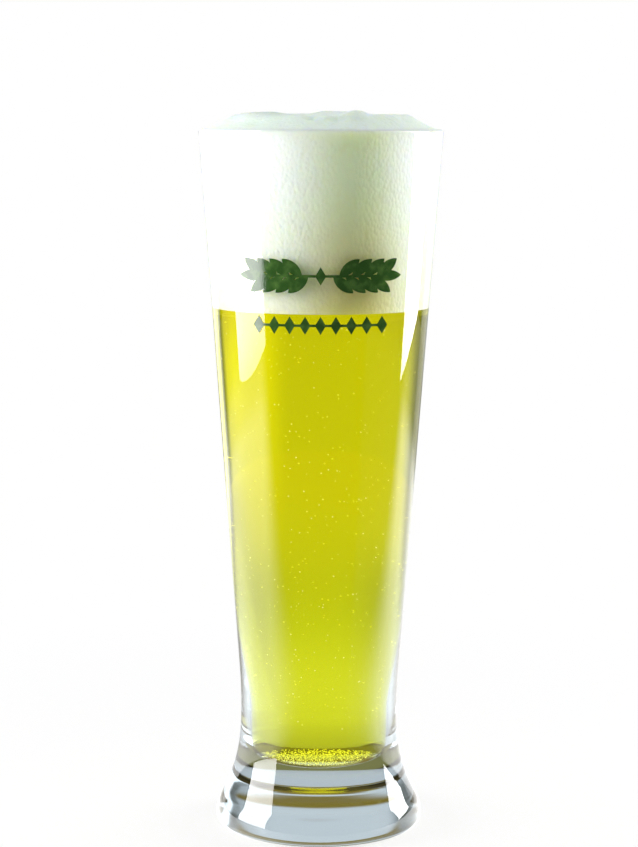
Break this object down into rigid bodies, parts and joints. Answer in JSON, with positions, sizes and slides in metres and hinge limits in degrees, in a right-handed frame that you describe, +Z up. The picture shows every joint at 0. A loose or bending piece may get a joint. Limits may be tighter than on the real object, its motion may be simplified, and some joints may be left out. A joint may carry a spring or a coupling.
{
  "type": "footed beer glass",
  "caption": "Tall tapered beer glass on a heavy flared foot, filled with pale yellow beer under a deep white foam head, with a green barley print on the front.",
  "frame": {"origin": "centre of the foot's resting ring, on the table", "axes": "+Z up along the glass's axis, -Y towards the front, where the print is"},
  "size_m": [0.069, 0.069, 0.205],
  "materials": {
    "glass": "polished",
    "beer": "polished",
    "foam": "matte",
    "print": "satin"
  },
  "bodies": {
    "root": {"bowl": "glass", "foot": "glass", "beer": "beer", "foam_head": "foam", "barley_print": "print", "lozenge_print": "print"}
  },
  "joints": []
}
